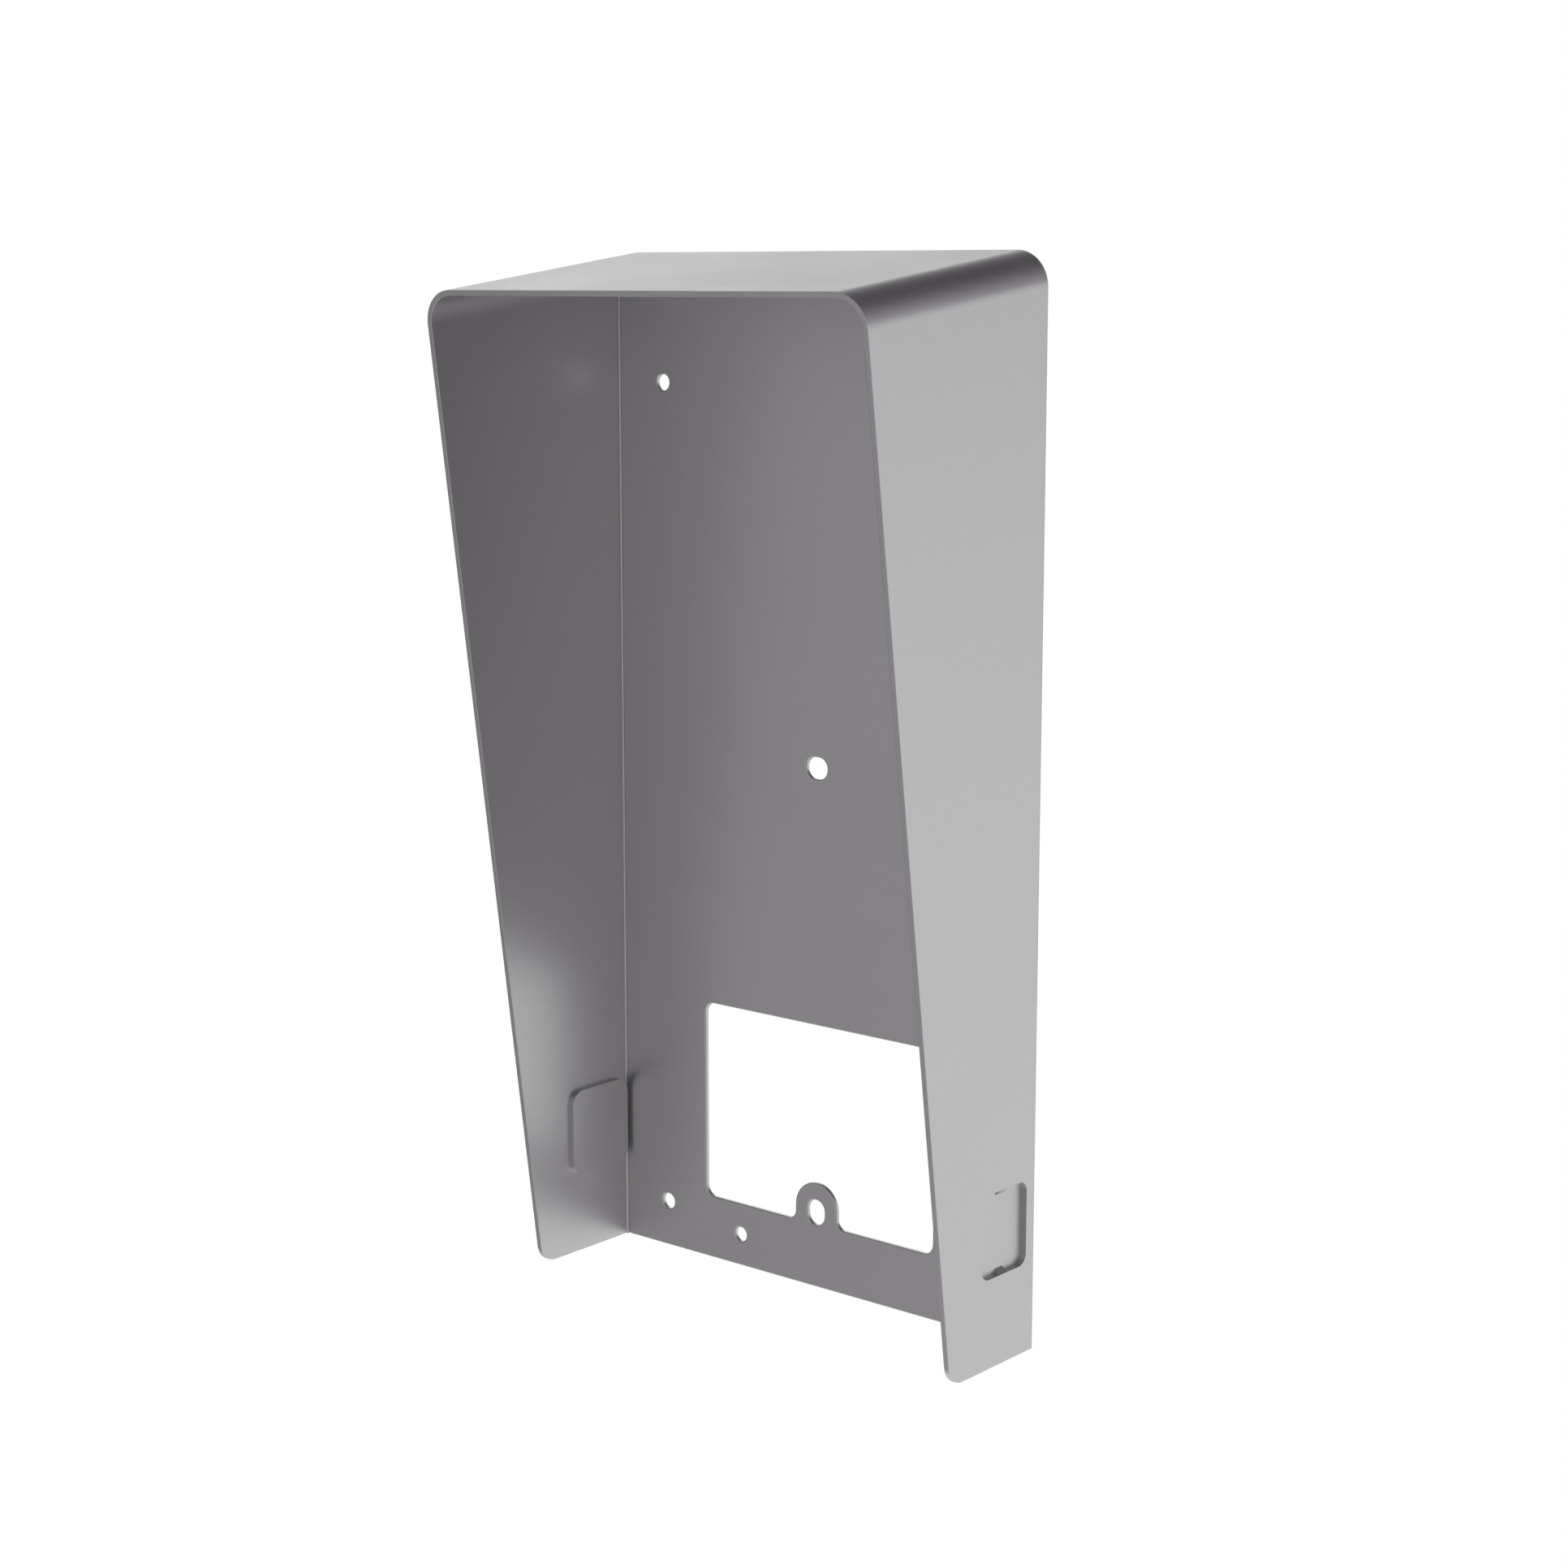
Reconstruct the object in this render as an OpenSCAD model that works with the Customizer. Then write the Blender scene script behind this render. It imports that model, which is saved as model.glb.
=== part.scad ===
// Rain hood for a door station: two sheets of metal joined along a welded, ground-round corner.
// Frame: the wall is the plane Y = 0 and the hood stands out towards -Y. +Z is up, and the origin
// is the centre of the four corner holes. The heights below are measured from the bottom edge.

/* [Hood] */
// Outside width across both cheeks
hood_w = 97.4; // [90:0.1:120]
// Height of the roof's outside face where it meets the back plate
rear_h = 189.1; // [170:0.05:230]
// How far the roof reaches out from the wall
roof_depth = 49; // [40:0.1:70]
// How far the cheeks reach out from the wall at the bottom
foot_depth = 24.5; // [22:0.1:36]
// Height of the roof's outside face at its front edge
front_h = 182.45; // [165:0.05:225]
// Thickness of both sheets
sheet_t = 1; // [1:0.1:1.6]
// Inside radius of the two bends between roof and cheeks
bend_r = 5.1; // [3:0.1:10]
// Radius of each cheek's lower front corner
foot_corner_r = 4; // [2:0.1:8]

/* [Side pads] */
// Height of the recess's lower edge above the bottom
pad_z = 16.1; // [12:0.05:40]
// Height of the recess
pad_h = 15.1; // [10:0.1:24]
// Distance from the wall to the recess's rear edge
pad_back = 2.9; // [2.6:0.05:6]
// Length of the recess, from its rear edge towards the front
pad_len = 12.9; // [8:0.1:14]
// How deep the pad is pressed in
pad_depth = 1; // [0.6:0.05:1.5]
// Corner radius of the recess
pad_r = 2; // [1:0.1:3]
// Wall of the pad below and above the recess
pad_wall = 0.8; // [0.7:0.05:1.4]
// Wall of the pad at the rear
pad_rear_wall = 1.15; // [0.7:0.05:1.4]
// Wall of the pad at the front
pad_front_wall = 1; // [0.8:0.05:2]
// Corner radius of the pad's outside
pad_outer_r = 2.75; // [1:0.05:4]
// Distance from the wall to the nibs' rear ends
nib_back = 8.55; // [6:0.05:12]
// Length of each nib
nib_len = 2.1; // [1:0.05:4]

/* [Cut-out and tab] */
// Width of the cut-out in the back plate
cut_w = 54; // [40:0.1:70]
// Height of the cut-out's lower edge
cut_z = 12.1; // [9:0.1:20]
// Height of the cut-out's upper edge
cut_top = 50; // [40:0.1:90]
// Corner radius of the cut-out
cut_r = 2.1; // [1:0.1:5]
// Width of the tab that stands up into the cut-out
tab_w = 9.8; // [8:0.1:14]
// Height of the tab's top
tab_top = 20; // [18:0.1:30]
// Radius where the tab meets the cut-out's lower edge
tab_root_r = 1.75; // [1:0.05:3]

/* [Holes] */
// Distance between the two slots that fit a wall box
slot_pitch = 83.3; // [60:0.1:90]
// Height of the lower slot's centre, in the tab
slot_z = 14.35; // [13:0.05:20]
// Width of both slots
slot_w = 4; // [3:0.1:6]
// End-to-end length of both slots
slot_len = 4.8; // [4:0.1:9]
// Diameter of the four corner holes
corner_hole_d = 3; // [3:0.1:5]
// Distance between the corner holes, across
corner_pitch_x = 73.6; // [60:0.1:80]
// Distance between the corner holes, up
corner_pitch_z = 156.8; // [120:0.1:165]
// Height of the lower corner holes
corner_hole_z = 8.8; // [7:0.1:11]
// Diameter of the single hole near the bottom
single_hole_d = 2.8; // [2:0.1:4]
// Sideways place of the single hole
single_hole_x = -18.4; // [-30:0.1:-12]
// Height of the single hole
single_hole_z = 6.1; // [4:0.1:8]

/* [Weld seams] */
// Gap left between the sheets, filled by the weld
root_gap = 0.2; // [0.1:0.05:0.4]
// Size of the weld's inside corner
root_leg = 0.4; // [0.3:0.05:0.8]
// Width of the blunt ends of the inside corner
root_blunt = 0.05; // [0.02:0.01:0.1]

/* [Hidden] */
$fn = 96;
half_w = hood_w / 2;
inner_half_w = half_w - sheet_t;
outer_r = bend_r + sheet_t;
bend_z = rear_h - outer_r;
datum_z = corner_hole_z + corner_pitch_z / 2;
roof_slope = atan((rear_h - front_h) / (roof_depth - sheet_t));
front_lean = atan((roof_depth - foot_depth) / front_h);
// Blanks are cut back to size from lengths that reach past every edge
past = 20;
// How far one shape reaches into the next, so that they join
overlap = 0.1;
wrap_length = roof_depth + 2 * past;
wrap_height = rear_h + 2 * past;

// Rectangle with round corners, from its lower left corner
module round_box_2d(w, h, r) {
    translate([r, 0]) square([w - 2 * r, h]);
    translate([0, r]) square([w, h - 2 * r]);
    for (x = [r, w - r], y = [r, h - r]) translate([x, y]) circle(r);
}

// Slot centred on the origin, with round ends, long in X
module slot_2d(length, width) {
    square([length - width, width], center = true);
    for (side = [-1, 1]) translate([side * (length - width) / 2, 0]) circle(d = width);
}

// Roof and cheeks in one outline, roof's outside face at y = 0 and cheeks reaching down
module arch_2d(half, r, height) {
    translate([-half, -height]) square([2 * half, height - r]);
    translate([r - half, -r - 1]) square([2 * (half - r), r + 1]);
    for (side = [-1, 1]) translate([side * (half - r), -r]) circle(r);
}

// The cheek seen from the side: x is depth (negative is the front), y is height
module cheek_2d() {
    corner_y = foot_corner_r;
    corner_x = foot_corner_r * (1 - sin(front_lean)) / cos(front_lean) - foot_depth;
    edge_x = corner_x - foot_corner_r * cos(front_lean);
    edge_y = corner_y - foot_corner_r * sin(front_lean);
    high = rear_h + past;
    polygon([
        [-sheet_t, 0],
        [corner_x, 0],
        [corner_x, corner_y],
        [edge_x, edge_y],
        [-foot_depth - high * tan(front_lean), high],
        [-sheet_t, high],
    ]);
    translate([corner_x, corner_y]) circle(foot_corner_r);
}

// The bent strip before the pads are pressed: an arch run along the roof's slope, cut to length
module bent_strip() {
    intersection() {
        translate([0, -sheet_t + past * cos(roof_slope), rear_h + past * sin(roof_slope)])
            rotate([90 + roof_slope, 0, 0])
                linear_extrude(wrap_length)
                    difference() {
                        arch_2d(half_w, outer_r, wrap_height);
                        translate([0, -sheet_t]) arch_2d(inner_half_w, bend_r, wrap_height);
                    }
        translate([-half_w - 1, 0, 0])
            rotate([90, 0, 90])
                linear_extrude(hood_w + 2)
                    cheek_2d();
    }
}

// Box along +X with round corners in depth and height, from x = 0, rear edge at -back
module pressed_block(depth, back, length, z, height, r) {
    translate([0, -back - length, z])
        rotate([90, 0, 90])
            linear_extrude(depth)
                round_box_2d(length, height, r);
}

// The raised pad on the inside of the right cheek
module pad_outside() {
    translate([inner_half_w - pad_depth, 0, 0])
        pressed_block(
            pad_depth + sheet_t / 2,
            pad_back - pad_rear_wall,
            pad_rear_wall + pad_len + pad_front_wall,
            pad_z - pad_wall,
            pad_h + 2 * pad_wall,
            pad_outer_r
        );
}

// The recess that the pad leaves in the outside of the right cheek
module pad_recess() {
    translate([half_w - pad_depth, 0, 0])
        pressed_block(pad_depth + 1, pad_back, pad_len, pad_z, pad_h, pad_r);
}

// One nib: a wedge that rises at 45 degrees from the recess's mouth to its floor, on z = 0
module nib() {
    reach = pad_depth + overlap;
    translate([half_w, -nib_back, 0])
        rotate([90, 0, 0])
            linear_extrude(nib_len)
                polygon([[0, -overlap], [0, 0], [-reach, reach], [-reach, -overlap]]);
}

module nib_pair() {
    translate([0, 0, pad_z]) nib();
    translate([0, 0, pad_z + pad_h]) mirror([0, 0, 1]) nib();
}

module both_sides() {
    children();
    mirror([1, 0, 0]) children();
}

// From heights above the bottom edge to the frame
module on_datum() {
    translate([0, 0, -datum_z]) children();
}

// Left cheek, roof and right cheek
module canopy_wrap() {
    color("silver")
        on_datum() {
            difference() {
                union() {
                    bent_strip();
                    both_sides() pad_outside();
                }
                both_sides() pad_recess();
            }
            both_sides() nib_pair();
        }
}

// The back plate's outline, clear of the weld on three sides
module plate_outline_2d() {
    half = inner_half_w - root_gap;
    r = bend_r - root_gap;
    translate([-half, 0]) square([2 * half, bend_z]);
    translate([r - half, bend_z - 1]) square([2 * (half - r), r + 1]);
    for (side = [-1, 1]) translate([side * (half - r), bend_z]) circle(r);
}

// The tab, with a round top and a radius on each side of its root
module tab_2d() {
    tab_r = tab_w / 2;
    root_half = tab_r + tab_root_r;
    translate([-tab_r, cut_z - 1]) square([tab_w, tab_top - tab_r - cut_z + 1]);
    translate([0, tab_top - tab_r]) circle(tab_r);
    difference() {
        translate([-root_half, cut_z - 1]) square([2 * root_half, tab_root_r + 1]);
        for (side = [-1, 1]) translate([side * root_half, cut_z + tab_root_r]) circle(tab_root_r);
    }
}

module cut_out_2d() {
    difference() {
        translate([-cut_w / 2, cut_z]) round_box_2d(cut_w, cut_top - cut_z, cut_r);
        tab_2d();
    }
}

module plate_holes_2d() {
    for (side = [-1, 1], z = [corner_hole_z, corner_hole_z + corner_pitch_z])
        translate([side * corner_pitch_x / 2, z]) circle(d = corner_hole_d);
    translate([single_hole_x, single_hole_z]) circle(d = single_hole_d);
    translate([0, slot_z + slot_pitch]) slot_2d(slot_len, slot_w);
    translate([0, slot_z]) rotate(90) slot_2d(slot_len, slot_w);
}

// The flat sheet against the wall
module back_plate() {
    color("gray")
        on_datum()
            rotate([90, 0, 0])
                linear_extrude(sheet_t)
                    difference() {
                        plate_outline_2d();
                        cut_out_2d();
                        plate_holes_2d();
                    }
}

// Section of a seam: x runs outwards from the inside corner, y from the plate's front to the wall.
// A quarter round outside, and the root between the two sheets.
module seam_2d() {
    intersection() {
        circle(sheet_t);
        square(sheet_t);
    }
    translate([-root_gap, 0]) square([root_gap, sheet_t]);
}

// The weld's inside corner, hollow like a fillet, with blunt ends
module seam_root_2d() {
    difference() {
        translate([-root_leg, -root_leg]) square(root_leg);
        translate([-root_leg - root_blunt, -root_leg - root_blunt]) circle(root_leg);
    }
}

// The seam of the right cheek
module cheek_seam() {
    translate([inner_half_w, -sheet_t, 0])
        linear_extrude(bend_z) {
            seam_2d();
            seam_root_2d();
        }
}

module weld_right() {
    color("silver") on_datum() cheek_seam();
}

module weld_left() {
    color("silver") on_datum() mirror([1, 0, 0]) cheek_seam();
}

// The seam round the right top corner
module corner_seam() {
    translate([inner_half_w - bend_r, -sheet_t, bend_z])
        rotate([90, 0, 0])
            rotate_extrude(angle = 90)
                translate([bend_r, 0])
                    mirror([0, 1])
                        seam_2d();
}

// The seam along the roof and round both top corners
module weld_top() {
    color("silver")
        on_datum() {
            translate([bend_r - inner_half_w, -sheet_t, rear_h - sheet_t])
                rotate([0, 90, 0])
                    linear_extrude(2 * (inner_half_w - bend_r))
                        mirror([1, 0])
                            seam_2d();
            both_sides() corner_seam();
        }
}

canopy_wrap();
back_plate();
weld_left();
weld_right();
weld_top();
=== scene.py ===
"""Looks of the door station rain hood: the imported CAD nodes, with rounded edges and blasted metal."""
import math

import bpy
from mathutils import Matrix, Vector

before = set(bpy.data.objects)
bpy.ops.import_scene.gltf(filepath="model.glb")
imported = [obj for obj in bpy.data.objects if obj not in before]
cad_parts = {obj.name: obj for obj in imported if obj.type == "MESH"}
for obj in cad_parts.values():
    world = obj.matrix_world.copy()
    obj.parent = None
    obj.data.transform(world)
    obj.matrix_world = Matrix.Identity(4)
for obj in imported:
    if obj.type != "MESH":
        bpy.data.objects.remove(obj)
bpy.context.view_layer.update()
scene = bpy.context.scene

# ---------------------------------------------------------------- camera
CAMERA_PLACE = (0.3227, -0.3940, 0.09745)
CAMERA_TILT = 79.98  # degrees from straight down
CAMERA_TURN = 40.05  # degrees about Z
LENS = 65.88
SENSOR = 36
CLIP = (0.01, 50)

camera_data = bpy.data.cameras.new("camera")
camera_data.lens = LENS
camera_data.sensor_width = SENSOR
camera_data.clip_start, camera_data.clip_end = CLIP
camera = bpy.data.objects.new("camera", camera_data)
camera.location = CAMERA_PLACE
camera.rotation_euler = (math.radians(CAMERA_TILT), 0, math.radians(CAMERA_TURN))
scene.collection.objects.link(camera)
scene.camera = camera


# ---------------------------------------------------------------- node helpers
class Tree:
    """A shader node tree with short calls for adding and joining nodes."""

    def __init__(self, tree):
        self.tree = tree
        tree.nodes.clear()

    def add(self, kind, **settings):
        node = self.tree.nodes.new(kind)
        for key, value in settings.items():
            setattr(node, key, value)
        return node

    def join(self, out, into):
        self.tree.links.new(out, into)

    def math(self, operation, a, b=None):
        """A Math node. Each of a and b is a number or another node's output."""
        node = self.add("ShaderNodeMath", operation=operation)
        for socket, value in zip(node.inputs, (a, b)):
            if isinstance(value, (int, float)):
                socket.default_value = value
            elif value is not None:
                self.join(value, socket)
        return node.outputs[0]

    def blend(self, a, b, share):
        """Sum of two values, the first with that share and the second with the rest."""
        return self.math("ADD", self.math("MULTIPLY", a, share), self.math("MULTIPLY", b, 1 - share))

    def noise(self, vector, scale, detail, rough=0.5):
        node = self.add("ShaderNodeTexNoise")
        node.inputs["Scale"].default_value = scale
        node.inputs["Detail"].default_value = detail
        node.inputs["Roughness"].default_value = rough
        self.join(vector, node.inputs["Vector"])
        return node.outputs["Fac"]

    def span(self, value, low, high, to_low, to_high, kind="LINEAR"):
        """The range from low to high brought to the range from to_low to to_high, and clamped."""
        node = self.add("ShaderNodeMapRange", interpolation_type=kind, clamp=True)
        self.join(value, node.inputs["Value"])
        node.inputs["From Min"].default_value = low
        node.inputs["From Max"].default_value = high
        node.inputs["To Min"].default_value = to_low
        node.inputs["To Max"].default_value = to_high
        return node.outputs["Result"]


# ---------------------------------------------------------------- materials
STEEL = (0.60, 0.594, 0.602)
SHEET_ROUGHNESS, SHEET_GRAIN = 0.38, 0.5
WELD_ROUGHNESS, WELD_GRAIN = 0.39, 0.6
SPECK_SCALE = 4000  # single pits left by the blasting
FINE_SCALE = 900  # groups of pits
CLOUD_SCALE = 35  # uneven blasting, over centimetres
NOISE_RANGE = (0.3, 0.7)  # where nearly all of a noise's values lie
TINT_SPREAD = 0.045
SPECK_SHARE = 0.7  # of the tint, and the clouds have the rest
FINE_SHARE = 0.5  # of the roughness, and the clouds have the rest
FINE_HEIGHT = 0.7  # against the specks' height
ROUGHNESS_SPREAD = 0.03
PIT_DEPTH = 0.00002


def blasted_metal(name, colour, roughness, grain):
    """Satin metal with a fine blasted grain and a faint cloudiness."""
    material = bpy.data.materials.new(name)
    material.use_nodes = True
    t = Tree(material.node_tree)
    out = t.add("ShaderNodeOutputMaterial")
    shader = t.add("ShaderNodeBsdfPrincipled")
    t.join(shader.outputs[0], out.inputs["Surface"])
    shader.inputs["Metallic"].default_value = 1.0
    place = t.add("ShaderNodeTexCoord").outputs["Object"]

    speck = t.noise(place, SPECK_SCALE, 1.0)
    fine = t.noise(place, FINE_SCALE, 3.0, 0.6)
    cloud = t.noise(place, CLOUD_SCALE, 3.0)

    tint = t.add("ShaderNodeMix", data_type="RGBA", blend_type="MIX")
    tint.inputs["A"].default_value = (*[c * (1 - TINT_SPREAD) for c in colour], 1)
    tint.inputs["B"].default_value = (*[c * (1 + TINT_SPREAD) for c in colour], 1)
    mixed = t.blend(speck, cloud, SPECK_SHARE)
    t.join(t.span(mixed, *NOISE_RANGE, 0.0, 1.0), tint.inputs["Factor"])
    t.join(tint.outputs["Result"], shader.inputs["Base Color"])

    uneven = t.blend(fine, cloud, FINE_SHARE)
    smoothest, roughest = roughness - ROUGHNESS_SPREAD, roughness + ROUGHNESS_SPREAD
    t.join(t.span(uneven, *NOISE_RANGE, smoothest, roughest), shader.inputs["Roughness"])

    bump = t.add("ShaderNodeBump")
    bump.inputs["Strength"].default_value = grain
    bump.inputs["Distance"].default_value = PIT_DEPTH
    t.join(t.math("ADD", speck, t.math("MULTIPLY", fine, FINE_HEIGHT)), bump.inputs["Height"])
    t.join(bump.outputs["Normal"], shader.inputs["Normal"])
    return material


sheet = blasted_metal("blasted_sheet", STEEL, SHEET_ROUGHNESS, SHEET_GRAIN)
weld = blasted_metal("blasted_weld", STEEL, WELD_ROUGHNESS, WELD_GRAIN)
for name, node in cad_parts.items():
    node.material_slots[0].material = weld if name.startswith("weld") else sheet

# ---------------------------------------------------------------- edges
MERGE_UNDER = 0.000002  # metres between points that are one point
SMOOTH_UNDER = math.radians(30)
ROUND_OVER = math.radians(40)
FLAT_UNDER = math.radians(0.2)
HOOD_EDGE_R = 0.0001
PLATE_EDGE_R = 0.0003
EDGE_SEGMENTS = 3
FREE_OF_WELDS = {"Y": (-1, -0.002)}
AT_PADS = {"Y": (-0.0195, 0), "Z": (-0.0740, -0.0530)}


class Geometry:
    """A geometry node group that takes a mesh in, changes it and gives it out."""

    def __init__(self, name):
        self.group = bpy.data.node_groups.new(name, "GeometryNodeTree")
        for way in ("INPUT", "OUTPUT"):
            self.group.interface.new_socket("Geometry", in_out=way, socket_type="NodeSocketGeometry")
        self.start, self.end = self.add("NodeGroupInput"), self.add("NodeGroupOutput")

    def add(self, kind, **settings):
        node = self.group.nodes.new(kind)
        for key, value in settings.items():
            setattr(node, key, value)
        return node

    def join(self, out, into):
        self.group.links.new(out, into)

    def compare(self, value, operation, limit):
        node = self.add("FunctionNodeCompare", operation=operation)
        node.inputs["B"].default_value = limit
        self.join(value, node.inputs["A"])
        return node.outputs["Result"]

    def combine(self, operation, a, b):
        node = self.add("FunctionNodeBooleanMath", operation=operation)
        self.join(a, node.inputs[0])
        self.join(b, node.inputs[1])
        return node.outputs[0]

    def sharper_than(self, angle):
        measured = self.add("GeometryNodeInputMeshEdgeAngle").outputs["Unsigned Angle"]
        return self.compare(measured, "GREATER_THAN", angle)

    def within(self, ranges):
        """Where every given coordinate is over its low and under its high value."""
        place, parts = self.add("GeometryNodeInputPosition"), self.add("ShaderNodeSeparateXYZ")
        self.join(place.outputs[0], parts.inputs[0])
        result = None
        for axis, (low, high) in ranges.items():
            over = self.compare(parts.outputs[axis], "GREATER_THAN", low)
            under = self.compare(parts.outputs[axis], "LESS_THAN", high)
            both = self.combine("AND", over, under)
            result = both if result is None else self.combine("AND", result, both)
        return result


def joined_skin():
    """The CAD faces as one skin, shaded smooth except at its sharper edges."""
    g = Geometry("joined_skin")
    plain = g.add("GeometryNodeRemoveAttribute")
    plain.inputs["Name"].default_value = "custom_normal"
    merge = g.add("GeometryNodeMergeByDistance")
    merge.inputs["Distance"].default_value = MERGE_UNDER
    soft = g.add("GeometryNodeSetShadeSmooth")
    hard = g.add("GeometryNodeSetShadeSmooth", domain="EDGE")
    hard.inputs["Shade Smooth"].default_value = False
    g.join(g.sharper_than(SMOOTH_UNDER), hard.inputs["Selection"])
    g.join(g.start.outputs[0], plain.inputs["Geometry"])
    for before, after in ((plain, merge), (merge, soft), (soft, hard)):
        g.join(before.outputs[0], after.inputs["Geometry"])
    g.join(hard.outputs[0], g.end.inputs[0])
    return g.group


def rims():
    """Marks the sharp edges for rounding, but not those at the welds or of the pads."""
    g = Geometry("rims")
    free = g.combine("AND", g.sharper_than(ROUND_OVER), g.within(FREE_OF_WELDS))
    store = g.add("GeometryNodeStoreNamedAttribute", data_type="FLOAT", domain="EDGE")
    store.inputs["Name"].default_value = "bevel_weight_edge"
    g.join(g.start.outputs[0], store.inputs["Geometry"])
    # NIMPLY is "the first and not the second"
    g.join(g.combine("NIMPLY", free, g.within(AT_PADS)), store.inputs["Value"])
    g.join(store.outputs[0], g.end.inputs[0])
    return g.group


def round_edges(node, radius, selection=None):
    """Rounds a CAD node's edges: those that the selection marks, or every sharp one."""
    flat = node.modifiers.new("flat_faces", "DECIMATE")
    flat.decimate_type = "DISSOLVE"
    flat.angle_limit = FLAT_UNDER
    even = node.modifiers.new("even_triangles", "TRIANGULATE")
    even.quad_method = "BEAUTY"
    even.ngon_method = "BEAUTY"
    if selection:
        node.modifiers.new("edges_to_round", "NODES").node_group = selection
    rounded = node.modifiers.new("rounded_edges", "BEVEL")
    rounded.limit_method = "WEIGHT" if selection else "ANGLE"
    rounded.angle_limit = ROUND_OVER
    rounded.width = radius
    rounded.segments = EDGE_SEGMENTS
    rounded.use_clamp_overlap = False
    rounded.loop_slide = False
    rounded.harden_normals = True


skin = joined_skin()
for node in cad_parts.values():
    node.modifiers.new("joined_skin", "NODES").node_group = skin
round_edges(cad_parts["canopy_wrap"], HOOD_EDGE_R, rims())
round_edges(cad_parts["back_plate"], PLATE_EDGE_R)

# ---------------------------------------------------------------- floor
FLOOR_Z = -0.6
FLOOR_R = 0.5
FLOOR_SIDES = 96
FLOOR_COLOUR = (0.9, 0.9, 0.9, 1)
FLOOR_ROUGHNESS = 0.9
FLOOR_GLOW = 0.6

mesh = bpy.data.meshes.new("floor")
turns = [2 * math.pi * k / FLOOR_SIDES for k in range(FLOOR_SIDES)]
rim = [(FLOOR_R * math.cos(a), FLOOR_R * math.sin(a), FLOOR_Z) for a in turns]
mesh.from_pydata(rim, [], [list(range(FLOOR_SIDES))])
floor = bpy.data.objects.new("floor", mesh)
scene.collection.objects.link(floor)
pale = bpy.data.materials.new("pale_floor")
pale.use_nodes = True
t = Tree(pale.node_tree)
out = t.add("ShaderNodeOutputMaterial")
shader = t.add("ShaderNodeBsdfPrincipled")
shader.inputs["Base Color"].default_value = FLOOR_COLOUR
shader.inputs["Roughness"].default_value = FLOOR_ROUGHNESS
shader.inputs["Emission Color"].default_value = (1, 1, 1, 1)
shader.inputs["Emission Strength"].default_value = FLOOR_GLOW
t.join(shader.outputs[0], out.inputs["Surface"])
mesh.materials.append(pale)

# ---------------------------------------------------------------- lights
LIGHT_DISTANCE = 1.5
LIGHT_COLOUR = (0.98, 1, 0.985)


def heading(azimuth, elevation):
    """Unit vector towards that azimuth (0 is +X, 90 is +Y) and elevation, in degrees."""
    a, e = math.radians(azimuth), math.radians(elevation)
    return Vector((math.cos(a) * math.cos(e), math.sin(a) * math.cos(e), math.sin(e)))


def soft_box(name, azimuth, elevation, width, height, radiance):
    """An area light that faces the hood. Width and height are in metres."""
    data = bpy.data.lights.new(name, "AREA")
    data.shape = "RECTANGLE"
    data.size, data.size_y = width, height
    data.energy = radiance * math.pi * width * height
    data.color = LIGHT_COLOUR
    lamp = bpy.data.objects.new(name, data)
    way = heading(azimuth, elevation)
    lamp.location = way * LIGHT_DISTANCE
    lamp.rotation_mode = "QUATERNION"
    lamp.rotation_quaternion = way.to_track_quat("Z", "Y")
    lamp.visible_camera = False
    scene.collection.objects.link(lamp)


soft_box("sweep_light", azimuth=45, elevation=-28, width=2.19, height=2.56, radiance=0.435)
soft_box("strip_light", azimuth=131, elevation=14, width=2.5, height=0.78, radiance=1.01)

# ---------------------------------------------------------------- room
# The room's light, from directions low down, level and high up, and where one fades to the next
LOW_LIGHT, LEVEL_LIGHT, HIGH_LIGHT = 0.43, 0.50, 0.22
LOW_FADE = (-0.55, -0.2)
HIGH_FADE = (0.425, 0.855)
# Black flags, one high up behind the hood and one low on its left:
# azimuth and elevation in degrees, spread in radians, and depth
FLAGS = ((84, 36, 0.46, 0.80), (-170, -8.2, 0.38, 1.0))
# Green against red and blue, from where the room is dark to where its light is LIT or more
DARK_GREEN, LIT_GREEN = 0.91, 0.975
LIT = 0.45

world = bpy.data.worlds.new("studio")
scene.world = world
world.use_nodes = True
t = Tree(world.node_tree)
out = t.add("ShaderNodeOutputWorld")
way = t.add("ShaderNodeTexCoord").outputs["Generated"]
parts = t.add("ShaderNodeSeparateXYZ")
t.join(way, parts.inputs[0])
room = t.math(
    "MINIMUM",
    t.span(parts.outputs["Z"], *HIGH_FADE, LEVEL_LIGHT, HIGH_LIGHT, "SMOOTHSTEP"),
    t.span(parts.outputs["Z"], *LOW_FADE, LOW_LIGHT, LEVEL_LIGHT, "SMOOTHSTEP"),
)
for azimuth, elevation, spread, depth in FLAGS:
    flag = t.add("ShaderNodeVectorMath", operation="DOT_PRODUCT")
    t.join(way, flag.inputs[0])
    flag.inputs[1].default_value = heading(azimuth, elevation)
    away = t.math("DIVIDE", t.math("SUBTRACT", flag.outputs["Value"], 1.0), spread**2)
    shade = t.math("MULTIPLY", t.math("EXPONENT", away), depth)
    room = t.math("MULTIPLY", room, t.math("SUBTRACT", 1.0, shade))
# behind the hood the room shows as plain white
seen = t.add("ShaderNodeLightPath").outputs["Is Camera Ray"]
tint = t.add("ShaderNodeCombineColor")
tint.inputs["Red"].default_value = 1
tint.inputs["Blue"].default_value = 1
green = t.span(room, 0, LIT, DARK_GREEN, LIT_GREEN)
t.join(t.math("MAXIMUM", green, seen), tint.inputs["Green"])
sky = t.add("ShaderNodeBackground")
t.join(tint.outputs["Color"], sky.inputs["Color"])
t.join(t.math("MAXIMUM", room, seen), sky.inputs["Strength"])
t.join(sky.outputs[0], out.inputs["Surface"])

scene.view_settings.view_transform = "Standard"
